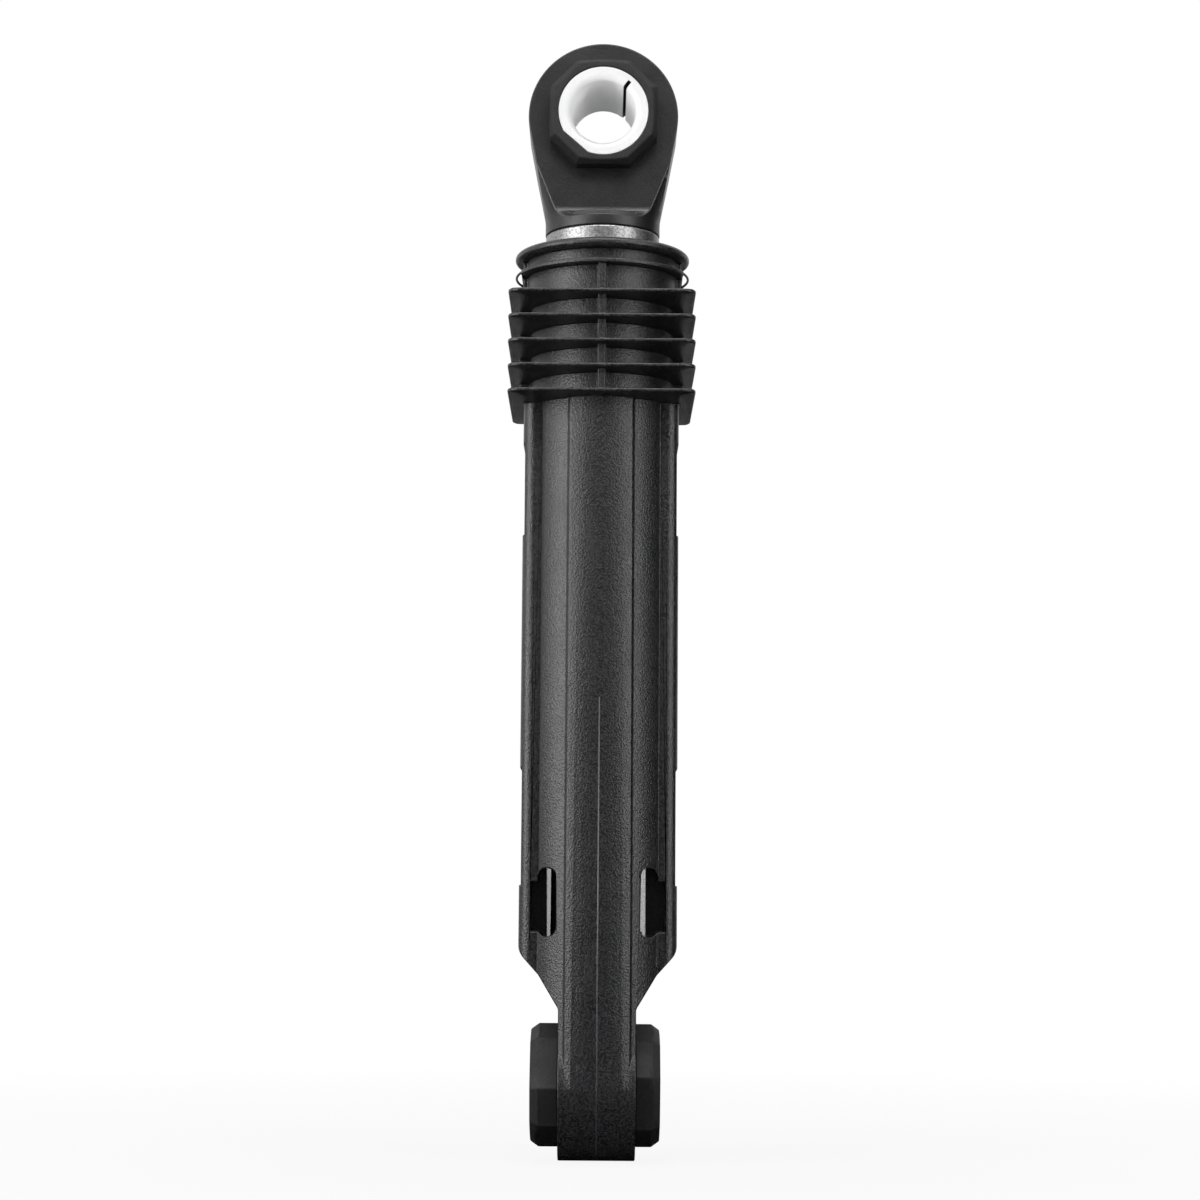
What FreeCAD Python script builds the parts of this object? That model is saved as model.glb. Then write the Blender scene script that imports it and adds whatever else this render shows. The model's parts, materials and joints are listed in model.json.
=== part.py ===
"""Friction damper for a washing machine tub: a steel plunger in a ribbed plastic housing.

The bore of the lower bush is at the origin. The damper stands along +Z, the lower pin lies
along X and the upper pin along Y. All sizes are in millimetres.
"""
import FreeCAD
import Part
import math
import os

Vector = FreeCAD.Vector
X_AXIS = Vector(1, 0, 0)
Y_AXIS = Vector(0, 1, 0)
Z_AXIS = Vector(0, 0, 1)

# Bushes: a grooved plastic sleeve in two rubber halves with eight-sided collars
pin_radius = 6.0
sleeve_wall = 2.4
sleeve_groove_width = 0.7
sleeve_groove_depth = 1.5
sleeve_key_cut = 0.55
sleeve_recess = 0.15
rubber_wall = 1.15
collar_lip = 0.5
upper_front_proud = 3.9
upper_rear_proud = 3.9
lower_left_proud = 5.05
lower_right_proud = 4.45
collar_long_side_angle = 52.4
collar_slope = 0.69
long_side_chamfer = 0.92
short_side_chamfer = 1.5
long_side_crown = 32.0
assembly_clearance = 0.03

# How far each rubber half is turned about its pin, and where the sleeves are grooved
upper_front_turn = 0.0
upper_rear_turn = 45.0
lower_left_turn = 26.0
lower_right_turn = -16.0
upper_groove_angle = 49.0
lower_groove_angle = 90.0

# Eyes
eye_width = 14.0
upper_eye_wall = 4.5
lower_eye_wall = 4.05

# Plunger tube and the plastic head that is pressed into its top
plunger_radius = 10.7
plunger_wall = 1.0
steel_showing = 3.7
head_height = 21.7
head_rim = 0.1
head_rim_height = 3.2
head_cone_height = 2.2
head_cone_angle = 18.8
head_ledge_height = 2.15
head_ledge_radius = 2.2
spigot_length = 22.0

# Housing tube: a round section with a raised band front and back, and a wing on each side
housing_length = 154.5
tube_radius = 14.0
band_width = 11.6
band_height = 0.4
band_slope = 0.3
shoulder_width = 21.6
wing_span = 28.8
wing_depth = 16.0
wing_corner_radius = 2.2
bore_clearance = 0.2

# Foot of the housing: the wings run down to the neck above the lower eye
wing_end_height = 24.1
wing_end_radius = 3.5
knee_height = 19.9
knee_inset = 3.8
neck_top_height = 14.1
neck_fillet = 1.5
neck_lean_height = 30.0
neck_lean = 0.3

# Floor of the bore, and below it a window to the front and the back on each side
bore_floor_height = 41.0
plunger_end_gap = 4.0
window_inner = 7.5
window_width = 3.4
window_length = 12.4
window_floor_height = 26.9
window_step = 1.5
window_step_height = 0.9
window_step_length = 9.1
window_reach = 12.15
window_web = 2.0

# A rib with a sloping crest that stands in each window
rib_slope = 0.47
left_rib_inner = 8.4
left_rib_width = 0.75
left_rib_reach = 10.4
right_rib_inner = 7.6
right_rib_width = 1.0
right_rib_reach = 11.3

# Shallow panels in the sides of the wings
panel_depth = 0.35
panel_width = 14.0
upper_panel_bottom = 100.5
upper_panel_length = 17.1
lower_panel_bottom = 36.2
lower_panel_length = 21.3

# Collar: square fins, a slotted ring and a flange round the lining chamber
fin_count = 5
fin_size = 34.4
fin_corner_radius = 2.4
fin_edge_thickness = 0.6
fin_root_thickness = 1.4
fin_pitch = 4.63
top_fin_drop = 10.5
collar_root_radius = 13.4
collar_top_radius = 14.2
flange_radius = 16.4
flange_thickness = 1.7
flange_chamfer = 0.5
ring_radius = 16.4
ring_thickness = 0.8
ring_drop = 4.8
ring_solid_reach = 15.1
ring_strap = 0.45
rib_width = 1.4
front_rib_reach = 15.9
side_rib_reach = 15.3
side_pad_reach = 14.8
side_pad_width = 5.0

# Lining chamber and the guide ring that closes it
lining_wall = 1.3
lining_clearance = 0.1
lining_length = 20.0
lining_gap = 0.8
guide_length = 6.3
guide_seat = 0.8
guide_recess = 0.3
guide_clearance = 0.15

# Places that follow from the sizes above
sleeve_radius = pin_radius + sleeve_wall
eye_hole_radius = sleeve_radius + rubber_wall
upper_eye_radius = eye_hole_radius + upper_eye_wall
lower_eye_radius = eye_hole_radius + lower_eye_wall
half_eye = eye_width / 2
long_side = eye_hole_radius + collar_lip
collar_corner = long_side / math.cos(math.radians(collar_long_side_angle / 2))
short_side = collar_corner * math.cos(math.radians(45 - collar_long_side_angle / 2))
head_base = housing_length + steel_showing
eye_spacing = head_base + head_height
bore_radius = plunger_radius + bore_clearance
band_radius = tube_radius + band_height
wing_half = wing_span / 2
lining_inner_radius = plunger_radius + lining_clearance
lining_radius = lining_inner_radius + lining_wall
chamber_radius = lining_radius + lining_clearance
guide_radius = chamber_radius + guide_seat
guide_bottom = housing_length - guide_recess - guide_length
chamber_bottom = guide_bottom - lining_length - 2 * lining_clearance
top_fin = housing_length - top_fin_drop
bottom_fin = top_fin - (fin_count - 1) * fin_pitch
ring_bottom = housing_length - ring_drop


def cylinder(radius, length, base, axis):
    return Part.makeCylinder(radius, length, base, axis)


def line(start, end):
    return Part.LineSegment(start, end).toShape()


def arc(start, middle, end):
    return Part.Arc(start, middle, end).toShape()


def face(edges):
    return Part.Face(Part.Wire(edges))


def polygon(points):
    return Part.Face(Part.makePolygon(points + points[:1]))


def turned(profile):
    """Solid of revolution about Z from (radius, height) points."""
    return polygon([Vector(radius, 0, height) for radius, height in profile]).revolve(
        Vector(), Z_AXIS, 360)


def box(x_range, y_range, z_range):
    size = [high - low for low, high in (x_range, y_range, z_range)]
    return Part.makeBox(*size, Vector(x_range[0], y_range[0], z_range[0]))


def mirrored(shape, normal):
    return shape.mirror(Vector(), normal)


def rounded(solid, radius, wanted):
    """Fillet the edges that the test picks out."""
    return solid.makeFillet(radius, [edge for edge in solid.Edges if wanted(edge)])


def on_circle(radius, angle):
    return radius * math.cos(angle), radius * math.sin(angle)


def tube_section():
    """Section of the housing tube: one quarter, mirrored front to back and side to side."""
    band_half = band_width / 2
    slope_end = band_half + band_slope
    shoulder_half = shoulder_width / 2
    wing_face = wing_depth / 2
    corner = wing_corner_radius

    def at(radius, x):
        return Vector(x, math.sqrt(radius ** 2 - x ** 2), 0)

    def bend(radius, x_start, x_end):
        return arc(at(radius, x_start), at(radius, (x_start + x_end) / 2), at(radius, x_end))

    step = Vector(shoulder_half, wing_face, 0)
    corner_start = Vector(wing_half - corner, wing_face, 0)
    corner_end = Vector(wing_half, wing_face - corner, 0)
    inset = corner * (1 - math.sqrt(0.5))
    corner_middle = Vector(wing_half - inset, wing_face - inset, 0)
    side = Vector(wing_half, 0, 0)
    quarter = face([
        bend(band_radius, 0, band_half),
        line(at(band_radius, band_half), at(tube_radius, slope_end)),
        bend(tube_radius, slope_end, shoulder_half),
        line(at(tube_radius, shoulder_half), step),
        line(step, corner_start),
        arc(corner_start, corner_middle, corner_end),
        line(corner_end, side),
        line(side, Vector()),
        line(Vector(), at(band_radius, 0)),
    ])
    half = quarter.fuse(mirrored(quarter, X_AXIS))
    return half.fuse(mirrored(half, Y_AXIS)).removeSplitter()


def housing_front_outline():
    """Outline seen from the front: wings, the taper below them and the neck."""
    knee_half = wing_half - knee_inset
    half = [(half_eye, -lower_eye_radius), (half_eye, neck_top_height), (knee_half, knee_height),
            (wing_half, wing_end_height), (wing_half, housing_length)]
    points = half + [(-x, z) for x, z in reversed(half)]
    depth = 2 * band_radius
    outline = polygon([Vector(x, -depth / 2, z) for x, z in points]).extrude(Y_AXIS * depth)
    for radius, height in ((neck_fillet, neck_top_height), (wing_end_radius, wing_end_height)):
        outline = rounded(outline, radius, lambda edge: (
            abs(edge.BoundBox.ZMin - height) < 0.01 and edge.BoundBox.ZLength < 0.01))
    return outline


def housing_side_outline():
    """Outline seen from the side: the neck leans in to meet the round of the lower eye."""
    lean = band_radius + neck_lean
    clear = 2 * band_radius
    tangent = (math.atan2(neck_lean_height, lean)
               - math.acos(lower_eye_radius / math.hypot(lean, neck_lean_height)))
    half = [on_circle(lower_eye_radius, tangent), (lean, neck_lean_height),
            (clear, neck_lean_height), (clear, housing_length)]
    points = half + [(-y, z) for y, z in reversed(half)]
    return polygon([Vector(-wing_span, y, z) for y, z in points]).extrude(X_AXIS * 2 * wing_span)


def window_cutter():
    """Right-hand window from the front down to the web: a round-ended slot and a square step."""
    radius = window_width / 2
    middle = window_inner + radius
    low = window_floor_height + radius
    high = window_floor_height + window_length - radius
    front = -band_radius
    depth = band_radius - window_web / 2
    slot = box((window_inner, window_inner + window_width), (front, front + depth), (low, high))
    ends = [cylinder(radius, depth, Vector(middle, front, z), Y_AXIS) for z in (low, high)]
    step_low = window_floor_height + window_step_height
    step = box((window_inner + window_step, window_reach), (front, front + depth),
               (step_low, step_low + window_step_length))
    return slot.multiFuse(ends + [step])


def window_rib(inner, width, reach):
    """Right-hand rib from the web towards the front, with its crest below the tube's skin."""
    outer = inner + width
    section = [(inner, 0), (inner, -reach), (outer, rib_slope * width - reach), (outer, 0)]
    low = window_floor_height - width
    rib = polygon([Vector(x, y, low) for x, y in section])
    return rib.extrude(Z_AXIS * (window_length + 2 * width))


def housing_tube():
    section = tube_section()
    tube = section.extrude(Z_AXIS * bottom_fin)
    tube = tube.common(housing_front_outline()).common(housing_side_outline())
    eye = cylinder(lower_eye_radius, eye_width, Vector(-half_eye, 0, 0), X_AXIS)
    return tube.fuse(eye).removeSplitter()


def fin():
    """Square fin with rounded corners, which tapers from its root to its edge."""
    half = fin_size / 2
    root = collar_root_radius
    thin = fin_edge_thickness / 2
    thick = fin_root_thickness / 2
    upper = [(half, thin), (root, thick), (-root, thick), (-half, thin)]
    section = upper + [(-across, -height) for across, height in upper]
    along_y = polygon([Vector(x, -half, z) for x, z in section]).extrude(Y_AXIS * fin_size)
    along_x = polygon([Vector(-half, y, z) for y, z in section]).extrude(X_AXIS * fin_size)
    plate = box((-half, half), (-half, half), (-thick, thick))
    plate = rounded(plate, fin_corner_radius, lambda edge: (
        abs(edge.BoundBox.ZLength - fin_root_thickness) < 0.01))
    return plate.common(along_y).common(along_x)


def slotted_ring():
    """Ring below the flange: solid at the front and the back, and only a thin strap at each side."""
    ring = cylinder(ring_radius, ring_thickness, Vector(0, 0, ring_bottom), Z_AXIS)
    solid = ring.common(box((-ring_solid_reach, ring_solid_reach), (-ring_radius, ring_radius),
                            (ring_bottom, ring_bottom + ring_thickness)))
    strap_bottom = Vector(0, 0, ring_bottom + (ring_thickness - ring_strap) / 2)
    strap = cylinder(ring_radius, ring_strap, strap_bottom, Z_AXIS)
    return solid.fuse(strap.cut(cylinder(ring_radius - ring_strap, ring_strap, strap_bottom, Z_AXIS)))


def flange():
    bottom = housing_length - flange_thickness
    inset = flange_radius - flange_chamfer
    return turned([(0, bottom), (inset, bottom), (flange_radius, bottom + flange_chamfer),
                   (flange_radius, housing_length - flange_chamfer), (inset, housing_length),
                   (0, housing_length)])


def collar():
    """Everything round the lining chamber, before it is bored."""
    foot = bottom_fin
    root = cylinder(collar_root_radius, top_fin - foot, Vector(0, 0, foot), Z_AXIS)
    top = cylinder(collar_top_radius, housing_length - top_fin - flange_chamfer,
                   Vector(0, 0, top_fin), Z_AXIS)
    lowest = bottom_fin + fin_edge_thickness / 2
    fins = [fin().translated(Vector(0, 0, lowest + index * fin_pitch)) for index in range(fin_count)]
    half_rib = rib_width / 2
    half_pad = side_pad_width / 2
    front_rib = box((-half_rib, half_rib), (-front_rib_reach, front_rib_reach), (foot, ring_bottom))
    side_rib = box((-side_rib_reach, side_rib_reach), (-half_rib, half_rib), (foot, top_fin))
    side_pad = box((-side_pad_reach, side_pad_reach), (-half_pad, half_pad),
                   (top_fin, housing_length - flange_thickness / 2))
    return root.multiFuse([top, front_rib, side_rib, side_pad, slotted_ring(), flange()] + fins)


def cylinder_housing():
    body = housing_tube().fuse(collar()).removeSplitter()
    bores = [
        cylinder(bore_radius, housing_length - bore_floor_height,
                 Vector(0, 0, bore_floor_height), Z_AXIS),
        cylinder(chamber_radius, housing_length - chamber_bottom,
                 Vector(0, 0, chamber_bottom), Z_AXIS),
        cylinder(guide_radius, housing_length - guide_bottom, Vector(0, 0, guide_bottom), Z_AXIS),
        cylinder(eye_hole_radius, eye_width, Vector(-half_eye, 0, 0), X_AXIS),
    ]
    right = window_cutter()
    left = mirrored(right, X_AXIS)
    windows = [right, left, mirrored(right, Y_AXIS), mirrored(left, Y_AXIS)]
    right_rib = window_rib(right_rib_inner, right_rib_width, right_rib_reach)
    left_rib = mirrored(window_rib(left_rib_inner, left_rib_width, left_rib_reach), X_AXIS)
    ribs = [right_rib, left_rib, mirrored(right_rib, Y_AXIS), mirrored(left_rib, Y_AXIS)]
    half_panel = panel_width / 2
    panel_floor = wing_half - panel_depth

    panels = []
    for x_range in ((panel_floor, wing_span), (-wing_span, -panel_floor)):
        for bottom, length in ((upper_panel_bottom, upper_panel_length),
                               (lower_panel_bottom, lower_panel_length)):
            panels.append(box(x_range, (-half_panel, half_panel), (bottom, bottom + length)))
    return body.cut(bores + windows + panels).multiFuse(ribs).removeSplitter()


def guide_ring():
    """Ring pressed into the mouth: it holds the lining in and guides the plunger."""
    inner = plunger_radius + guide_clearance
    outer = guide_radius - assembly_clearance
    top = guide_bottom + guide_length
    return turned([(inner, guide_bottom), (outer, guide_bottom), (outer, top), (inner, top)])


def friction_lining():
    """Greased strip curled round the plunger, with a gap where its ends meet."""
    bottom = chamber_bottom + lining_clearance
    ring = cylinder(lining_radius, lining_length, Vector(0, 0, bottom), Z_AXIS)
    ring = ring.cut(cylinder(lining_inner_radius, lining_length, Vector(0, 0, bottom), Z_AXIS))
    gap = box((-lining_gap / 2, lining_gap / 2), (0, 2 * lining_radius),
              (bottom, bottom + lining_length))
    return ring.cut(gap)


def plunger_tube():
    inner = plunger_radius - plunger_wall
    bottom = bore_floor_height + plunger_end_gap
    return turned([(inner, bottom), (plunger_radius, bottom), (plunger_radius, head_base),
                   (inner, head_base)])


def upper_eye():
    """Head: a flat eye that runs down into a round rim and a spigot inside the plunger."""
    rim_radius = plunger_radius + head_rim
    rim_top = head_base + head_rim_height
    fall = eye_spacing - rim_top
    tangent = (math.acos(upper_eye_radius / math.hypot(rim_radius, fall))
               - math.atan2(fall, rim_radius))
    side_x, side_z = on_circle(upper_eye_radius, tangent)
    depth = 2 * upper_eye_radius

    def point(x, z):
        return Vector(x, -depth / 2, z)

    base_right = point(rim_radius, head_base)
    base_left = point(-rim_radius, head_base)
    rim_right = point(rim_radius, rim_top)
    rim_left = point(-rim_radius, rim_top)
    side_right = point(side_x, eye_spacing + side_z)
    side_left = point(-side_x, eye_spacing + side_z)
    outline = face([
        line(base_left, base_right),
        line(base_right, rim_right),
        line(rim_right, side_right),
        arc(side_right, point(0, eye_spacing + upper_eye_radius), side_left),
        line(side_left, rim_left),
        line(rim_left, base_left),
    ])
    cone_bottom = head_base + head_cone_height
    cone_height = head_height + upper_eye_radius
    cone_radius = rim_radius + cone_height * math.tan(math.radians(head_cone_angle))
    cone = turned([(0, head_base), (rim_radius, head_base), (rim_radius, cone_bottom),
                   (cone_radius, cone_bottom + cone_height), (0, cone_bottom + cone_height)])
    head = outline.extrude(Y_AXIS * depth).common(cone)

    ledge = head_base + head_ledge_height
    bend = head_ledge_radius
    bend_inset = bend * (1 - math.sqrt(0.5))

    def at(y, z):
        return Vector(-depth, y, z)

    top = eye_spacing + depth
    flat = face([
        line(at(half_eye, top), at(half_eye, ledge + bend)),
        arc(at(half_eye, ledge + bend), at(half_eye + bend_inset, ledge + bend_inset),
            at(half_eye + bend, ledge)),
        line(at(half_eye + bend, ledge), at(depth, ledge)),
        line(at(depth, ledge), at(depth, top)),
        line(at(depth, top), at(half_eye, top)),
    ]).extrude(X_AXIS * 2 * depth)
    hole = cylinder(eye_hole_radius, depth, Vector(0, -depth / 2, eye_spacing), Y_AXIS)
    head = head.cut([flat, mirrored(flat, Y_AXIS), hole])
    spigot_radius = plunger_radius - plunger_wall - assembly_clearance
    spigot = cylinder(spigot_radius, spigot_length + head_rim_height,
                      Vector(0, 0, head_base - spigot_length), Z_AXIS)
    return head.fuse(spigot).removeSplitter()


def key_flat(groove_angle):
    """Block beyond the flat on the back of a sleeve, opposite the groove."""
    reach = 2 * sleeve_radius
    edge = sleeve_radius - sleeve_key_cut
    block = box((-reach, -edge), (-reach, reach), (-reach, reach))
    return block.rotated(Vector(), Z_AXIS, groove_angle)


def bush_sleeve(groove_angle, half):
    """Sleeve along Z, centred on the origin, with a groove in its bore and a flat opposite it."""
    sleeve = turned([(pin_radius, -half), (sleeve_radius, -half), (sleeve_radius, half),
                     (pin_radius, half)])
    half_groove = sleeve_groove_width / 2
    groove = box((0, pin_radius + sleeve_groove_depth), (-half_groove, half_groove), (-half, half))
    return sleeve.cut([groove.rotated(Vector(), Z_AXIS, groove_angle), key_flat(groove_angle)])


def long_side_bevel(end):
    """Large cylinder whose skin crowns the slope from a collar's long side to its end."""
    slope = math.atan(collar_slope)
    down = Vector(math.sin(slope), 0, -math.cos(slope))
    inward = Vector(-math.cos(slope), 0, -math.sin(slope))
    top = Vector(long_side - collar_slope * long_side_chamfer, 0, end)
    base = top + inward * long_side_crown - down * long_side_crown
    return cylinder(long_side_crown, 2 * long_side_crown, base, down)


def short_side_bevel(end):
    """Wedge above the flat slope from a collar's short side to its end."""
    inner = short_side - collar_slope * short_side_chamfer
    outer = 2 * short_side
    section = [(inner, end), (outer, end - (outer - inner) / collar_slope), (outer, end)]
    return polygon([Vector(x, -outer, z) for x, z in section]).extrude(Y_AXIS * 2 * outer)


def bush_rubber(turn, groove_angle, proud):
    """Rubber half along +Z from the middle of the eye: a spigot and an eight-sided collar."""
    end = half_eye + proud
    corners = []
    for quarter in range(4):
        for side in (-1, 1):
            angle = math.radians(turn + 90 * quarter + side * collar_long_side_angle / 2)
            x, y = on_circle(collar_corner, angle)
            corners.append(Vector(x, y, half_eye))
    block = polygon(corners).extrude(Z_AXIS * proud)
    for quarter in range(4):
        angle = turn + 90 * quarter
        block = block.common(long_side_bevel(end).rotated(Vector(), Z_AXIS, angle))
        block = block.cut(short_side_bevel(end).rotated(Vector(), Z_AXIS, angle + 45))
    spigot = cylinder(eye_hole_radius - assembly_clearance, half_eye, Vector(), Z_AXIS)
    hole = cylinder(sleeve_radius + assembly_clearance, end, Vector(), Z_AXIS)
    key = key_flat(groove_angle).translated(Vector(*on_circle(
        -assembly_clearance, math.radians(groove_angle)), 0))
    return block.fuse(spigot).cut(hole.cut(key)).removeSplitter()


def place(shape, centre, outward):
    """Turn a bush piece from +Z to the way that its first half faces, with its own +Y upwards."""
    placed = shape.copy()
    turn = FreeCAD.Rotation(Z_AXIS.cross(outward), Z_AXIS, outward, "ZYX")
    placed.Placement = FreeCAD.Placement(centre, turn)
    return placed


def bush(centre, outward, turns, prouds, groove_angle, names):
    """The two rubber halves and the sleeve of one eye, in the order of their names."""
    first_half = bush_rubber(turns[0], groove_angle, prouds[0])
    second_half = mirrored(bush_rubber(turns[1], groove_angle, prouds[1]), Z_AXIS)
    sleeve = bush_sleeve(groove_angle, half_eye + min(prouds) - sleeve_recess)
    shapes = (first_half, second_half, sleeve)
    return {name: place(shape, centre, outward) for name, shape in zip(names, shapes)}


def build():
    pieces = {
        "cylinder_housing": cylinder_housing(),
        "guide_ring": guide_ring(),
        "friction_lining": friction_lining(),
        "plunger_tube": plunger_tube(),
        "upper_eye": upper_eye(),
    }
    pieces.update(bush(Vector(0, 0, eye_spacing), -Y_AXIS, (upper_front_turn, upper_rear_turn),
                       (upper_front_proud, upper_rear_proud), upper_groove_angle,
                       ("upper_bush_rubber_front", "upper_bush_rubber_rear", "upper_bush_sleeve")))
    pieces.update(bush(Vector(), -X_AXIS, (lower_left_turn, lower_right_turn),
                       (lower_left_proud, lower_right_proud), lower_groove_angle,
                       ("lower_bush_rubber_left", "lower_bush_rubber_right", "lower_bush_sleeve")))
    return pieces


os.makedirs("parts", exist_ok=True)
for name, shape in build().items():
    if not shape.isValid() or len(shape.Solids) != 1:
        raise ValueError(f"{name}: {len(shape.Solids)} solids, valid {shape.isValid()}")
    solid = shape.Solids[0]
    solid.exportStep(f"parts/{name}.step")
    print(f"{name}: {solid.Volume / 1000:.2f} cm3, {len(solid.Faces)} faces")
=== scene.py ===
"""Washing machine damper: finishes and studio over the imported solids.

The solids give the damper its form. This script rounds their moulded edges, raises the line where
the halves of the mould met, gives each piece the finish of its real material and lights a studio.
"""
import json
import math
from typing import NamedTuple

import bmesh
import bpy
from bpy.props import FloatProperty, FloatVectorProperty, PointerProperty
from mathutils import Matrix, Quaternion, Vector


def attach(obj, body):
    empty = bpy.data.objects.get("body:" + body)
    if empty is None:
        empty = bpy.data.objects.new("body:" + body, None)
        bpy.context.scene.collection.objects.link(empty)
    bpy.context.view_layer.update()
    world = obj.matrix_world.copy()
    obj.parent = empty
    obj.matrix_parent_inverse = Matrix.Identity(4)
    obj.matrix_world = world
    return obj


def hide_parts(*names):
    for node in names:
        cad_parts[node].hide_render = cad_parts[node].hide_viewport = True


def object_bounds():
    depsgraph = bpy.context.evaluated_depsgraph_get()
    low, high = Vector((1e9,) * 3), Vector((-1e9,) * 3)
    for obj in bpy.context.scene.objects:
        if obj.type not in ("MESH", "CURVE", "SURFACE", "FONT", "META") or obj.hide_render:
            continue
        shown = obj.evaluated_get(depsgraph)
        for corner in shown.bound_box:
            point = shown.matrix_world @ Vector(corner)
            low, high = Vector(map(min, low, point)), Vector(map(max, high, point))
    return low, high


bl_info = {
    "name": "Washing Machine Damper",
    "version": (1, 0, 0),
    "blender": (4, 5, 0),
    "location": "View3D > Sidebar > Damper",
    "description": "Dresses a friction damper and sets up a plain studio around it",
    "category": "Object",
}

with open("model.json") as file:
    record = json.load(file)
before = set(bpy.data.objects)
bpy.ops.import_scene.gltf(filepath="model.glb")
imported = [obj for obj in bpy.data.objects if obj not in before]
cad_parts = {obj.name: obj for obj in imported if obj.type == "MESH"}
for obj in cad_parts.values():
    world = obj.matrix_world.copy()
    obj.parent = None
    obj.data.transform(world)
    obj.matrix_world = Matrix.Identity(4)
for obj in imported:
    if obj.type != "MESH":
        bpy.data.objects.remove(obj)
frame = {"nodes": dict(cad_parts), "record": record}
cad_low, cad_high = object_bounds()
nodes = frame["nodes"]
node_bodies = {node: body for body, members in frame["record"]["behaviour"]["bodies"].items()
               for node in members}
bores = {mount["name"]: mount for mount in frame["record"]["mounts"]}

MM = 0.001

# What counts as one point, as one place, as touching and as one flat area
MERGE_DISTANCE = 0.02 * MM
SAME_PLACE = 0.001 * MM
TOUCH = 0.02 * MM
FLAT_ANGLE = math.radians(0.3)

# An edge is rounded from the first angle on, and is shaded sharp from the second
CORNER_ANGLE = math.radians(24)
SMOOTH_ANGLE = math.radians(40)

# What is too tight to round: an end that another edge leaves at less than this angle, an edge shorter
# than this share of the rounding and a face narrower than this many roundings
NARROW_ANGLE = math.radians(35)
SHORT_EDGE = 0.2
ROOM = 2.05

EDGE_SEGMENTS = 3
LIP_SEGMENTS = 7

# How much of a face's normal is along an axis: more than the first where the face looks that way,
# and less than the second where the face runs along the axis
FACING = 0.5
ALONG = 0.1

# The housing's windows: their sides, their heights and the radius of the tube just below its skin
WINDOW_SIDES = (7.4 * MM, 12.2 * MM)
WINDOW_HEIGHTS = (26.8 * MM, 39.4 * MM)
WINDOW_SKIN = 13.6 * MM

# The wider rib, in the windows on the right: its sides, the heights that its middle is between
# and how far out its crest is
WIDE_RIB_SIDES = (7.55 * MM, 8.65 * MM)
WIDE_RIB_HEIGHTS = (30 * MM, 36.5 * MM)
WIDE_RIB_CREST = 10.6 * MM

# Everything this far out at the middle of the front, the back and the foot is the housing's skin
SKIN = 12.9 * MM

# What is left of the mould line's height at its top, and how far above the foot it fades out
FADED_SHARE = 0.2
FOOT_FADE = 3 * MM

# The housing's finishes other than its texture, as its faces number them
POLISHED_PAINTED_LIGHTER, PAINTED_HIGHLIGHT, FLASH = 1, 2, 3

# How deep the texture is on the head, as a share of the housing's
HEAD_TEXTURE = 0.3

# How far from a sleeve's bore the inside of its groove is, which is painted black as shade
GROOVE_REACH = (0.2 * MM, 1.6 * MM)


class Lamp(NamedTuple):
    """A lamp's size in metres and where it stands, seen from the point that the camera looks at.

    The angles are in degrees: round from the front towards the right, and up.
    """

    power: str
    size: tuple
    azimuth: float
    elevation: float
    distance: float
    in_reflections: bool = True
    on_matt_surfaces: bool = True


LAMPS = {
    "Left softbox": Lamp("left_light", (0.6, 1.0), -57, -2, 0.9),
    "Right softbox": Lamp("right_light", (0.42, 1.0), 50, 0, 0.9),
    "Low left strip": Lamp("low_left_light", (0.6, 0.2), -57, -3, 0.88),
    "Low right strip": Lamp("low_right_light", (0.42, 0.2), 50, -3, 0.88),
    "Top softbox": Lamp("top_light", (0.8, 0.8), 0, 75, 1.0),
    "Fill light": Lamp("fill_light", (0.6, 0.6), 0, 12, 1.0, in_reflections=False),
    "Edge light": Lamp("edge_light", (0.8, 0.5), 0, 52, 0.8, on_matt_surfaces=False),
}

# The floor in metres: its radius, how far it is below the foot, and the distances from the damper
# between which it goes from its share of white there to all white
FLOOR_RADIUS = 1.6
FLOOR_DROP = 0.2 * MM
FLOOR_WHITENS = (0.04, 0.3)
NEAR_WHITE = 0.9
DISC_SEGMENTS = 96

# The black cards in metres: their sizes, and where they stand round the damper
FLOOR_CARD_RADIUS = 1.5
FLOOR_CARD_DROP = 0.1 * MM
FRONT_CARD_SIZE = (0.5, 1.0)
FRONT_CARD_AWAY = 0.62
FRONT_CARD_RAISED = 0.15
SIDE_CARD_SIZE = (1.0, 1.0)
SIDE_CARD_RIGHT = 0.7
SIDE_CARD_BEHIND = 0.13

# The width of the camera's sensor in millimetres, as its setting takes it
SENSOR_WIDTH = 36.0


def linear(hex_colour):
    """Linear RGBA of an sRGB hex colour."""
    channels = [int(hex_colour[start:start + 2], 16) / 255 for start in (1, 3, 5)]
    rgb = [value / 12.92 if value <= 0.04045 else ((value + 0.055) / 1.055) ** 2.4
           for value in channels]
    return (*rgb, 1.0)


def length(name, description, millimetres):
    return FloatProperty(name=name, description=description, default=millimetres * MM, min=0.0,
                         unit="LENGTH", precision=5)


def angle(name, description, degrees):
    return FloatProperty(name=name, description=description, default=math.radians(degrees),
                         subtype="ANGLE")


def power(name, description, watts):
    return FloatProperty(name=name, description=description, default=watts, min=0.0, unit="POWER")


def colour(name, description, hex_colour):
    return FloatVectorProperty(name=name, description=description, default=linear(hex_colour),
                               size=4, min=0.0, max=1.0, subtype="COLOR")


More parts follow.
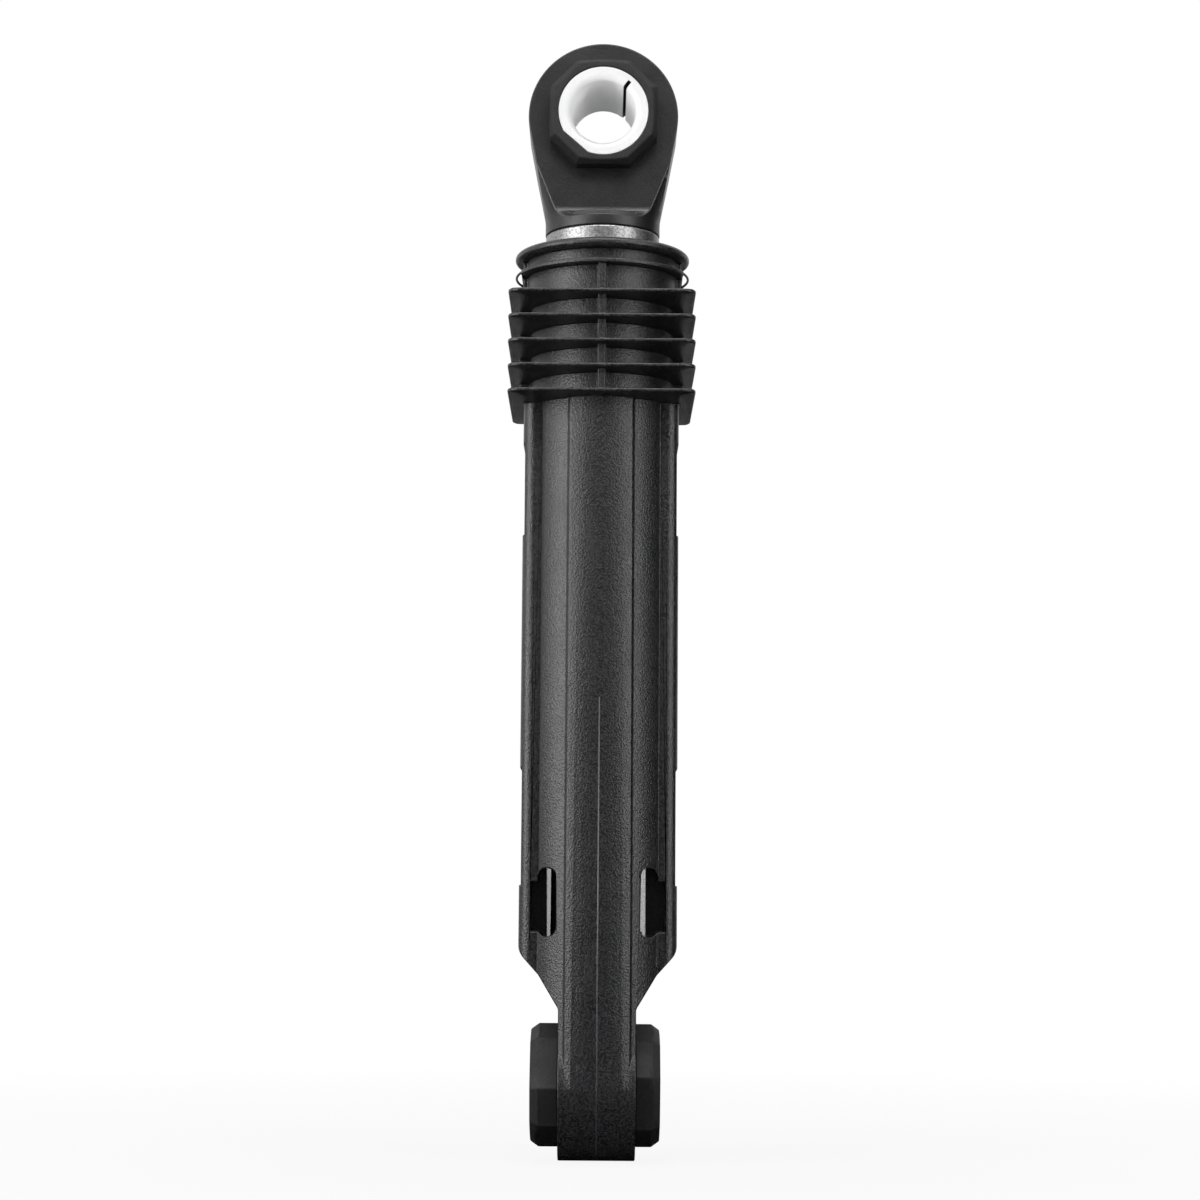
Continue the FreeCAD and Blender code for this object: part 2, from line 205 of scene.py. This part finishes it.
class DamperSizes(bpy.types.PropertyGroup):
    """Sizes of the fine details that the solids leave out."""

    moulded_edge: length("Moulded edge", "Rounding on the edges of the housing", 0.2)
    head_edge: length("Head edge", "Rounding on the edges of the plunger's head", 0.28)
    rubber_edge: length("Rubber edge", "Rounding on the edges of the rubber halves", 0.25)
    sleeve_edge: length("Sleeve edge", "Rounding on the edges of the sleeves", 0.12)
    sleeve_lip: length("Sleeve lip", "Rounding where a sleeve's bore meets its ends", 1.2)
    tube_edge: length("Tube edge", "Rounding on the ends of the plunger's tube", 0.35)
    plain_edge: length("Plain edge", "Rounding on the edges of the guide ring and the lining", 0.1)
    mould_line_width: length("Mould line width", "Width of the line left by the mould", 0.24)
    mould_line_height: length("Mould line height", "Height of the line left by the mould", 0.08)
    mould_line_top: length("Mould line top", "Where that line ends on the tube", 70.0)
    mould_line_fade: length("Mould line fade", "Where that line starts to fade towards its top", 35.0)
    texture_grain: length("Texture grain", "Grain of the spark-eroded mould texture", 0.34)
    texture_relief: length("Texture relief", "Depth of that texture", 0.095)


class DamperFinishes(bpy.types.PropertyGroup):
    """Colours of the materials."""

    plastic: colour("Plastic", "Black moulded polypropylene", "#080809")
    # Partly the texture's own paler tone and partly painted glints
    plastic_grain_and_glint: colour("Plastic, paler", "Paler spots of the texture, partly painted glints", "#2c2c2e")
    head: colour("Head", "Smoother polypropylene of the plunger's head", "#101011")
    head_pale: colour("Head, paler", "Where that polypropylene is a little paler", "#171718")
    # Painted lighter than the housing's plastic, in place of the light that reaches into the windows
    core: colour("Core", "Polypropylene that a polished core shaped, painted lighter for the light inside the windows", "#38383a")
    lightened_core_pale: colour("Core, paler", "Where that polypropylene is a little paler", "#404042")
    # A painted highlight on the crest of the wider rib
    rib_highlight: colour("Rib highlight", "Painted highlight on the crest of the wider rib", "#8c8c8e")
    rib_highlight_pale: colour("Rib highlight, paler", "Where that painted highlight shows a paler streak", "#b0b0b2")
    rubber: colour("Rubber", "Black moulded rubber", "#141414")
    rubber_pale: colour("Rubber, paler", "Where the rubber has a faint bloom", "#1c1c1c")
    acetal: colour("Acetal", "White moulded acetal", "#f2f2f2")
    acetal_shade: colour("Acetal, duller", "Where the acetal is a little duller", "#eeeeef")
    zinc: colour("Zinc", "Dull zinc plating", "#9c9c9c")
    zinc_dull: colour("Zinc, duller", "Where the zinc plating has dulled more", "#707070")
    lining: colour("Lining", "Greased foam lining", "#6b5a3e")
    lining_dark: colour("Lining, wet", "Where grease has soaked the lining", "#3c3122")
    guide: colour("Guide", "Black acetal guide ring", "#19191a")
    floor: colour("Floor", "Pale studio floor", "#f4f4f4")
    felt: colour("Felt", "Black cards that only reflections see", "#070707")
    backdrop: colour("Backdrop", "White all round", "#ffffff")


class DamperStudio(bpy.types.PropertyGroup):
    """Camera and lights."""

    camera_distance: length("Camera distance", "From the camera to the point it looks at", 500.0)
    camera_aim: length("Camera aim", "Height of the point the camera looks at", 89.2)
    camera_elevation: angle("Camera elevation", "How far the camera is above that point", -6.6)
    camera_roll: angle("Camera roll", "How far the damper leans in the picture", 0.41)
    camera_lens: FloatProperty(name="Lens", description="Focal length on a 36 mm sensor", default=80.4,
                               subtype="DISTANCE_CAMERA")
    left_light: power("Left light", "Power of the softbox on the left", 8.4)
    right_light: power("Right light", "Power of the softbox on the right", 3.5)
    low_left_light: power("Low left light", "Power of the low strip on the left", 2.0)
    low_right_light: power("Low right light", "Power of the low strip on the right", 1.4)
    top_light: power("Top light", "Power of the softbox overhead", 2.0)
    edge_light: power("Edge light", "Power of the strip that draws the upper edges", 7.0)
    fill_light: power("Fill light", "Power of the light from the front", 0.65)
    ambient: FloatProperty(name="Ambient", description="Light from all around", default=0.15, min=0.0,
                           subtype="FACTOR")


def blank(kind, name):
    """A new material or world without nodes, and its node tree."""
    made = kind.new(name)
    made.use_nodes = True
    made.node_tree.nodes.clear()
    return made, made.node_tree


def add_node(tree, kind, settings, links):
    """Add a node, set its options and the values of its sockets, and link sockets into it."""
    node = tree.nodes.new(kind)
    for name, value in settings.items():
        if isinstance(name, int) or name in node.inputs:
            node.inputs[name].default_value = value
        else:
            setattr(node, name, value)
    for name, source in links.items():
        tree.links.new(source, node.inputs[name])
    return node


def material(name, colours, roughness, blotch, grain, relief, sockets):
    """A surface whose roughness drifts over blotches, with a fine grain in its colour and relief.

    The blotch, grain and relief are sizes in metres, and sockets are the shader's that stay constant.
    """
    made, tree = blank(bpy.data.materials, name)
    place = add_node(tree, "ShaderNodeTexCoord", {}, {}).outputs["Object"]
    drift = add_node(tree, "ShaderNodeTexNoise", {"Scale": 1 / blotch, "Detail": 3.0},
                     {"Vector": place}).outputs["Fac"]
    rough = add_node(tree, "ShaderNodeMapRange",
                     {"From Min": 0.3, "From Max": 0.7, "To Min": roughness[0],
                      "To Max": roughness[1]}, {"Value": drift})
    speckle = add_node(tree, "ShaderNodeTexNoise",
                       {"Scale": 1 / grain, "Detail": 1.0, "Roughness": 0.6},
                       {"Vector": place}).outputs["Fac"]
    # For the moulded polypropylene these paler spots are partly painted glints
    spots = add_node(tree, "ShaderNodeMapRange", {"From Min": 0.38, "From Max": 0.62},
                     {"Value": speckle})
    tint = add_node(tree, "ShaderNodeMix",
                    {"data_type": "RGBA", 6: colours[0][:], 7: colours[1][:]},
                    {0: spots.outputs["Result"]})
    bump = add_node(tree, "ShaderNodeBump", {"Strength": 1.0, "Distance": relief},
                    {"Height": speckle})
    surface = add_node(tree, "ShaderNodeBsdfPrincipled", sockets, {
        "Base Color": tint.outputs[2], "Roughness": rough.outputs["Result"],
        "Normal": bump.outputs["Normal"]})
    add_node(tree, "ShaderNodeOutputMaterial", {}, {"Surface": surface.outputs["BSDF"]})
    return made


def polypropylene(name, colours, roughness, grain, relief):
    """Black glass-filled polypropylene, with the surface that its mould gave it."""
    return material(name, colours, roughness, blotch=5 * MM, grain=grain, relief=relief,
                    sockets={"IOR": 1.49})


def whole(node, shortest):
    """A node's triangles merged into one skin, without edges too short to round, its flat areas whole."""
    shape = bmesh.new()
    shape.from_mesh(nodes[node].data)
    bmesh.ops.remove_doubles(shape, verts=shape.verts, dist=MERGE_DISTANCE)
    bmesh.ops.dissolve_degenerate(shape, edges=shape.edges, dist=shortest)
    bmesh.ops.dissolve_limit(shape, angle_limit=FLAT_ANGLE, verts=shape.verts, edges=shape.edges)
    return shape


def sharp_edges(shape):
    """The sharp edges, but for ends that another edge leaves too narrowly to round."""
    sharp = {edge for edge in shape.edges if edge.is_manifold and edge.calc_face_angle() > CORNER_ANGLE}

    def overshoots(edge, vert):
        along = edge.other_vert(vert).co - vert.co
        others = [other for other in vert.link_edges if other is not edge]
        return not any(other in sharp for other in others) and any(
            along.angle(other.other_vert(vert).co - vert.co, 0.0) < NARROW_ANGLE for other in others)

    while narrow := {edge for edge in sharp if any(overshoots(edge, vert) for vert in edge.verts)}:
        sharp -= narrow
    return [edge for edge in shape.edges if edge in sharp]


def room(edge):
    """How far the narrower of an edge's two faces reaches away from it."""
    start = edge.verts[0].co
    along = (edge.verts[1].co - start).normalized()

    def reach(face):
        away = [(vert.co - start).cross(along).length for vert in face.verts if vert not in edge.verts]
        return min(away) if len(away) == 2 else max(away)

    return min(reach(face) for face in edge.link_faces)


def round_off(shape, edges, radius, segments):
    """Round some edges of a shape."""
    bmesh.ops.bevel(shape, geom=edges, offset=radius, offset_type="OFFSET", affect="EDGES",
                    segments=segments, profile=0.5, material=-1, clamp_overlap=False, loop_slide=False)


def rounded(node, radius):
    """A node's shape with its sharp edges rounded."""
    shape = whole(node, SHORT_EDGE * radius)
    round_off(shape, sharp_edges(shape), radius, EDGE_SEGMENTS)
    return shape


def dress(node, shape, finishes):
    """Stand a finished shape in the place of a node, with a crisp edge where two finishes meet."""
    name = f"{node}_finished"
    for face in shape.faces:
        face.smooth = True
    shape.edges.index_update()
    borders = [edge.index for edge in shape.edges
               if len({face.material_index for face in edge.link_faces}) > 1]
    mesh = bpy.data.meshes.new(name)
    shape.to_mesh(mesh)
    shape.free()
    mesh.set_sharp_from_angle(angle=SMOOTH_ANGLE)
    for border in borders:
        mesh.edges[border].use_edge_sharp = True
    for finish in finishes:
        mesh.materials.append(finish)
    made = bpy.data.objects.new(name, mesh)
    bpy.context.scene.collection.objects.link(made)
    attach(made, node_bodies[node])
    weights = made.modifiers.new("Even shading", "WEIGHTED_NORMAL")
    weights.keep_sharp = True
    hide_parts(node)


class DAMPER_OT_housing(bpy.types.Operator):
    """Finish the ribbed housing"""

    bl_idname = "damper.housing"
    bl_label = "Cylinder housing"

    def execute(self, context):
        sizes = context.scene.damper_sizes
        shape = whole("cylinder_housing", SHORT_EDGE * sizes.moulded_edge)
        roomy = [edge for edge in sharp_edges(shape) if room(edge) > ROOM * sizes.moulded_edge]
        round_off(shape, roomy, sizes.moulded_edge, EDGE_SEGMENTS)
        for face in shape.faces:
            # The wider rib's crest is painted pale as a highlight
            if self.on_crest(face):
                face.material_index = PAINTED_HIGHLIGHT
            # The insides of the windows get the polished finish, painted lighter for the light inside them
            elif self.in_window(face.calc_center_median()):
                face.material_index = POLISHED_PAINTED_LIGHTER
        self.raise_mould_line(shape, sizes)
        dress("cylinder_housing", shape, self.surfaces(sizes, context.scene.damper_finishes))
        return {"FINISHED"}

    def surfaces(self, sizes, finishes):
        """The housing's finishes, in the order that its faces number them."""
        # From a spark-eroded tool: deep grey with a fine grain, whose paler spots in the colour are partly
        # the texture's own tone and partly painted glints of light. The real grain is too fine to show, so
        # it is drawn about twice as coarse
        moulded = polypropylene("Moulded polypropylene", (finishes.plastic, finishes.plastic_grain_and_glint),
                                roughness=(0.33, 0.39), grain=sizes.texture_grain,
                                relief=sizes.texture_relief)
        # From a polished core, inside the windows: smooth and glossier, with its grey painted lighter in
        # place of the light that reaches into the windows
        polished_painted_lighter = polypropylene("Polished polypropylene", (finishes.core, finishes.lightened_core_pale),
                                 roughness=(0.2, 0.26), grain=0.6 * MM, relief=0.004 * MM)
        # On the crest of the wider rib: a pale, streaky grey that is a painted highlight, standing in for
        # the bright reflection there
        rib_highlight = polypropylene("Rubbed polypropylene", (finishes.rib_highlight, finishes.rib_highlight_pale),
                               roughness=(0.3, 0.36), grain=0.3 * MM, relief=0.02 * MM)
        # In the mould line, where it ran thinly between the mould's halves: plain and smooth
        flash = polypropylene("Polypropylene flash", (finishes.plastic_grain_and_glint, finishes.core),
                              roughness=(0.3, 0.36), grain=0.6 * MM, relief=0.004 * MM)
        return [moulded, polished_painted_lighter, rib_highlight, flash]

    def in_window(self, place):
        """Whether a place is inside one of the four windows, below the tube's skin."""
        return (WINDOW_SIDES[0] < abs(place.x) < WINDOW_SIDES[1]
                and WINDOW_HEIGHTS[0] < place.z < WINDOW_HEIGHTS[1]
                and place.xy.length < WINDOW_SKIN)

    def on_crest(self, face):
        """Whether a face is on the crest of a wider rib."""
        place = face.calc_center_median()
        return (WIDE_RIB_SIDES[0] < place.x < WIDE_RIB_SIDES[1]
                and WIDE_RIB_HEIGHTS[0] < place.z < WIDE_RIB_HEIGHTS[1]
                and abs(place.y) > WIDE_RIB_CREST and abs(face.normal.y) > FACING)

    def raise_mould_line(self, shape, sizes):
        """Raise the line where the mould's halves met, down the front, round the foot and up the back."""
        half = sizes.mould_line_width / 2
        top = sizes.mould_line_top
        fade = sizes.mould_line_fade

        def skin():
            return [face for face in shape.faces
                    if math.hypot(face.calc_center_median().y, min(face.calc_center_median().z, 0)) > SKIN
                    and abs(face.normal.x) < FACING
                    and min(vert.co.x for vert in face.verts) < half
                    and max(vert.co.x for vert in face.verts) > -half
                    and min(vert.co.z for vert in face.verts) < top]

        cuts = [(Vector((x, 0, 0)), Vector((1, 0, 0))) for x in (-half, 0, half)]
        cuts += [(Vector((0, 0, z)), Vector((0, 0, 1))) for z in (fade, top - half, top)]
        for place, normal in cuts:
            faces = skin()
            edges = list({edge for face in faces for edge in face.edges})
            verts = list({vert for face in faces for vert in face.verts})
            bmesh.ops.bisect_plane(shape, geom=verts + edges + faces, dist=SAME_PLACE, plane_co=place,
                                   plane_no=normal)
        shape.normal_update()
        for face in skin():
            if max(abs(vert.co.x) for vert in face.verts) < half + TOUCH:
                face.material_index = FLASH
        ridge = {vert for face in skin() for vert in face.verts
                 if abs(vert.co.x) < half and vert.co.z < top - half / 2}
        for vert in ridge:
            share = min(1.0, FADED_SHARE + (1 - FADED_SHARE) * (top - vert.co.z) / (top - fade))
            share *= min(1.0, max(0.0, (vert.co.z - cad_low.z) / FOOT_FADE))
            vert.co += vert.normal * sizes.mould_line_height * share * (1 - abs(vert.co.x) / half)


class DAMPER_OT_mouth(bpy.types.Operator):
    """Finish the guide ring and the friction lining behind it"""

    bl_idname = "damper.mouth"
    bl_label = "Guide ring and lining"

    def execute(self, context):
        sizes = context.scene.damper_sizes
        finishes = context.scene.damper_finishes
        # Black acetal, turned: smoother and glossier than the housing
        guide = material("Turned acetal", (finishes.guide, finishes.plastic), roughness=(0.28, 0.36),
                         blotch=4 * MM, grain=0.4 * MM, relief=0.002 * MM,
                         sockets={"IOR": 1.48, "Specular IOR Level": 0.4})
        # Open-celled polyurethane foam, soaked in grease: brown, with a wet sheen in its cells
        lining = material("Greased foam", (finishes.lining, finishes.lining_dark), roughness=(0.35, 0.7),
                          blotch=2 * MM, grain=0.5 * MM, relief=0.08 * MM, sockets={})
        dress("guide_ring", rounded("guide_ring", sizes.plain_edge), [guide])
        dress("friction_lining", rounded("friction_lining", sizes.plain_edge), [lining])
        return {"FINISHED"}


class DAMPER_OT_plunger(bpy.types.Operator):
    """Finish the plunger's steel tube and its moulded head"""

    bl_idname = "damper.plunger"
    bl_label = "Plunger and head"

    def execute(self, context):
        sizes = context.scene.damper_sizes
        finishes = context.scene.damper_finishes
        # Zinc-plated steel tube: a pale metal, mottled where the plating has dulled
        zinc = material("Zinc-plated steel", (finishes.zinc, finishes.zinc_dull), roughness=(0.33, 0.45),
                        blotch=0.9 * MM, grain=0.3 * MM, relief=0.01 * MM, sockets={"Metallic": 1.0})
        # From a smoother tool than the housing: an even dark grey with only a trace of texture
        smooth = polypropylene("Smooth polypropylene", (finishes.head, finishes.head_pale),
                               roughness=(0.36, 0.42), grain=sizes.texture_grain,
                               relief=HEAD_TEXTURE * sizes.texture_relief)
        dress("plunger_tube", rounded("plunger_tube", sizes.tube_edge), [zinc])
        dress("upper_eye", rounded("upper_eye", sizes.head_edge), [smooth])
        return {"FINISHED"}


class DAMPER_OT_bushes(bpy.types.Operator):
    """Finish the rubber halves and the sleeves of both eyes"""

    bl_idname = "damper.bushes"
    bl_label = "Bushes"

    def execute(self, context):
        sizes = context.scene.damper_sizes
        finishes = context.scene.damper_finishes
        # Moulded rubber: black, smoother than the plastic but duller, with a faint bloom
        rubber = material("Moulded rubber", (finishes.rubber, finishes.rubber_pale), roughness=(0.62, 0.74),
                          blotch=3 * MM, grain=0.4 * MM, relief=0.006 * MM,
                          sockets={"IOR": 1.52, "Specular IOR Level": 0.3})
        # Moulded acetal: a clean, slightly waxy white
        acetal = material("Moulded acetal", (finishes.acetal, finishes.acetal_shade), roughness=(0.3, 0.4),
                          blotch=4 * MM, grain=0.3 * MM, relief=0.002 * MM, sockets={"IOR": 1.48})
        for node in sorted(nodes):
            if "bush_rubber" in node:
                dress(node, rounded(node, sizes.rubber_edge), [rubber])
            elif "bush_sleeve" in node:
                bore = bores["upper_pin_bore" if "upper" in node else "lower_pin_bore"]
                # The inside of the groove is painted black with the rubber's finish: painted shade, where
                # the deep, narrow groove is dark
                dress(node, self.sleeve(node, bore, sizes), [acetal, rubber])
        return {"FINISHED"}

    def sleeve(self, node, bore, sizes):
        """A sleeve with wide round lips where its bore meets its ends, its other edges eased, and the
        inside of its groove painted black as shade.
        """
        shape = whole(node, sizes.sleeve_edge)
        axis = Vector(bore["axis"]).normalized()
        centre = Vector(bore["pos_m"])
        radius = bore["dims"]["r_mm"] * MM

        def beyond_bore(place):
            out = place - centre
            return (out - axis * out.dot(axis)).length - radius

        rims = [edge for edge in sharp_edges(shape)
                if all(beyond_bore(vert.co) < TOUCH for vert in edge.verts)
                and abs((edge.verts[1].co - edge.verts[0].co).dot(axis)) < TOUCH]
        round_off(shape, rims, sizes.sleeve_lip, LIP_SEGMENTS)
        round_off(shape, sharp_edges(shape), sizes.sleeve_edge, EDGE_SEGMENTS)
        for face in shape.faces:
            reach = beyond_bore(face.calc_center_median())
            groove_painted_dark = GROOVE_REACH[0] < reach < GROOVE_REACH[1] and abs(face.normal.dot(axis)) < ALONG
            face.material_index = int(groove_painted_dark)
        return shape


def softbox(name, lamp, watts, target):
    """An area light, aimed at a target."""
    azimuth = math.radians(lamp.azimuth)
    elevation = math.radians(lamp.elevation)
    away = Vector((math.sin(azimuth) * math.cos(elevation), -math.cos(azimuth) * math.cos(elevation),
                   math.sin(elevation)))
    light = bpy.data.lights.new(name, "AREA")
    light.shape = "RECTANGLE"
    light.size, light.size_y = lamp.size
    light.energy = watts
    made = bpy.data.objects.new(name, light)
    made.location = target + away * lamp.distance
    made.rotation_mode = "QUATERNION"
    made.rotation_quaternion = away.to_track_quat("Z", "Y")
    made.visible_glossy = lamp.in_reflections
    made.visible_diffuse = lamp.on_matt_surfaces
    bpy.context.scene.collection.objects.link(made)


def disc(radius, drop):
    """A level disc a little below the damper's foot."""
    shape = bmesh.new()
    bmesh.ops.create_circle(shape, cap_ends=True, segments=DISC_SEGMENTS, radius=radius)
    bmesh.ops.translate(shape, verts=shape.verts, vec=(0, 0, cad_low.z - drop))
    return shape


def upright_card(size, turned_about, place):
    """A flat card, turned upright about one of the axes."""
    shape = bmesh.new()
    bmesh.ops.create_grid(shape, x_segments=1, y_segments=1, size=0.5)
    bmesh.ops.scale(shape, verts=shape.verts, vec=(*size, 1.0))
    bmesh.ops.rotate(shape, verts=shape.verts, matrix=Matrix.Rotation(math.pi / 2, 3, turned_about))
    bmesh.ops.translate(shape, verts=shape.verts, vec=place)
    return shape


def on_stage(name, shape, finish):
    """Make a piece of the stage."""
    mesh = bpy.data.meshes.new(name)
    shape.to_mesh(mesh)
    shape.free()
    mesh.materials.append(finish)
    made = bpy.data.objects.new(name, mesh)
    bpy.context.scene.collection.objects.link(made)
    return made


def seen_directly(tree):
    """A factor that is 1 for the camera and for reflections, and 0 for the light that falls."""
    rays = add_node(tree, "ShaderNodeLightPath", {}, {}).outputs
    mirrored = add_node(tree, "ShaderNodeMath", {"operation": "MAXIMUM"},
                        {0: rays["Is Glossy Ray"], 1: rays["Is Transmission Ray"]})
    return add_node(tree, "ShaderNodeMath", {"operation": "MAXIMUM"},
                    {0: rays["Is Camera Ray"], 1: mirrored.outputs[0]}).outputs[0]


class DAMPER_OT_studio(bpy.types.Operator):
    """Set up the floor, the lights and the camera"""

    bl_idname = "damper.studio"
    bl_label = "Studio"

    def execute(self, context):
        scene = context.scene
        studio = scene.damper_studio
        target = Vector((0, 0, studio.camera_aim))
        finishes = scene.damper_finishes
        self.floor(finishes.floor)
        self.surroundings(scene, finishes.backdrop, studio.ambient)
        for name, lamp in LAMPS.items():
            softbox(name, lamp, getattr(studio, lamp.power), target)
        self.dark_cards(finishes.felt, target)
        self.camera(scene, studio, target)
        scene.view_settings.view_transform = "Standard"
        return {"FINISHED"}

    def camera(self, scene, studio, target):
        """The camera, in front of the damper and a little below the point it looks at."""
        lens = bpy.data.cameras.new("Camera")
        lens.lens = studio.camera_lens
        lens.sensor_width = SENSOR_WIDTH
        made = bpy.data.objects.new("Camera", lens)
        elevation = studio.camera_elevation
        back = Vector((0, -math.cos(elevation), math.sin(elevation)))
        made.location = target + back * studio.camera_distance
        made.rotation_mode = "QUATERNION"
        made.rotation_quaternion = Quaternion(back, studio.camera_roll) @ back.to_track_quat("Z", "Y")
        scene.collection.objects.link(made)
        scene.camera = made

    def dark_cards(self, tint, target):
        """Black cards in front, on the right and on the floor, which only reflections see."""
        # Felt that swallows the light: a dark band where a glossy piece mirrors it
        felt, tree = blank(bpy.data.materials, "Black felt")
        black = add_node(tree, "ShaderNodeBsdfDiffuse", {"Color": tint[:]}, {})
        add_node(tree, "ShaderNodeOutputMaterial", {}, {"Surface": black.outputs[0]})
        cards = {
            "Front card": upright_card(FRONT_CARD_SIZE, "X",
                                       (0, -FRONT_CARD_AWAY, target.z + FRONT_CARD_RAISED)),
            "Side card": upright_card(SIDE_CARD_SIZE, "Y", (SIDE_CARD_RIGHT, SIDE_CARD_BEHIND, target.z)),
            "Floor card": disc(FLOOR_CARD_RADIUS, FLOOR_CARD_DROP),
        }
        for name, shape in cards.items():
            card = on_stage(name, shape, felt)
            card.visible_camera = False
            card.visible_diffuse = False
            card.visible_transmission = False
            card.visible_shadow = False

    def floor(self, tint):
        """A pale round floor that keeps the damper's shadow and fades into the white around it."""
        # Matt paint: an even pale surface that mirrors nothing
        paint, tree = blank(bpy.data.materials, "Floor paint")
        matt = add_node(tree, "ShaderNodeBsdfDiffuse", {"Color": tint[:]}, {}).outputs[0]
        white = add_node(tree, "ShaderNodeEmission", {"Strength": 1.0}, {}).outputs[0]
        place = add_node(tree, "ShaderNodeTexCoord", {}, {}).outputs["Object"]
        away = add_node(tree, "ShaderNodeVectorMath", {"operation": "LENGTH"}, {0: place})
        fade = add_node(tree, "ShaderNodeMapRange",
                        {"From Min": FLOOR_WHITENS[0], "From Max": FLOOR_WHITENS[1],
                         "To Min": NEAR_WHITE, "To Max": 1.0}, {"Value": away.outputs["Value"]})
        share = add_node(tree, "ShaderNodeMath", {"operation": "MULTIPLY"},
                         {0: seen_directly(tree), 1: fade.outputs["Result"]})
        both = add_node(tree, "ShaderNodeMixShader", {}, {0: share.outputs[0], 1: matt, 2: white})
        add_node(tree, "ShaderNodeOutputMaterial", {}, {"Surface": both.outputs[0]})
        on_stage("Floor", disc(FLOOR_RADIUS, FLOOR_DROP), paint)

    def surroundings(self, scene, tint, ambient):
        """White all round to the eye and in reflections, with a softer light from all around."""
        scene.world, tree = blank(bpy.data.worlds, "Studio")
        dim = add_node(tree, "ShaderNodeBackground", {"Color": tint[:], "Strength": ambient}, {})
        white = add_node(tree, "ShaderNodeBackground", {"Color": tint[:], "Strength": 1.0}, {})
        both = add_node(tree, "ShaderNodeMixShader", {}, {
            0: seen_directly(tree), 1: dim.outputs[0], 2: white.outputs[0]})
        add_node(tree, "ShaderNodeOutputWorld", {}, {"Surface": both.outputs[0]})


OPERATORS = (DAMPER_OT_housing, DAMPER_OT_mouth, DAMPER_OT_plunger, DAMPER_OT_bushes, DAMPER_OT_studio)


class DAMPER_PT_tools(bpy.types.Panel):
    """The damper's pieces and its studio"""

    bl_idname = "DAMPER_PT_tools"
    bl_label = "Damper"
    bl_space_type = "VIEW_3D"
    bl_region_type = "UI"
    bl_category = "Damper"

    def draw(self, context):
        for operator in OPERATORS:
            self.layout.operator(operator.bl_idname)
        for group in (context.scene.damper_sizes, context.scene.damper_finishes,
                      context.scene.damper_studio):
            column = self.layout.column(align=True)
            for name in group.__annotations__:
                column.prop(group, name)


GROUPS = {"damper_sizes": DamperSizes, "damper_finishes": DamperFinishes, "damper_studio": DamperStudio}
CLASSES = (*GROUPS.values(), *OPERATORS, DAMPER_PT_tools)


def register():
    for cls in CLASSES:
        bpy.utils.register_class(cls)
    for name, group in GROUPS.items():
        setattr(bpy.types.Scene, name, PointerProperty(type=group))


def unregister():
    for name in GROUPS:
        delattr(bpy.types.Scene, name)
    for cls in reversed(CLASSES):
        bpy.utils.unregister_class(cls)


def main():
    register()
    bpy.ops.damper.housing()
    bpy.ops.damper.mouth()
    bpy.ops.damper.plunger()
    bpy.ops.damper.bushes()
    bpy.ops.damper.studio()


if __name__ == "__main__":
    main()
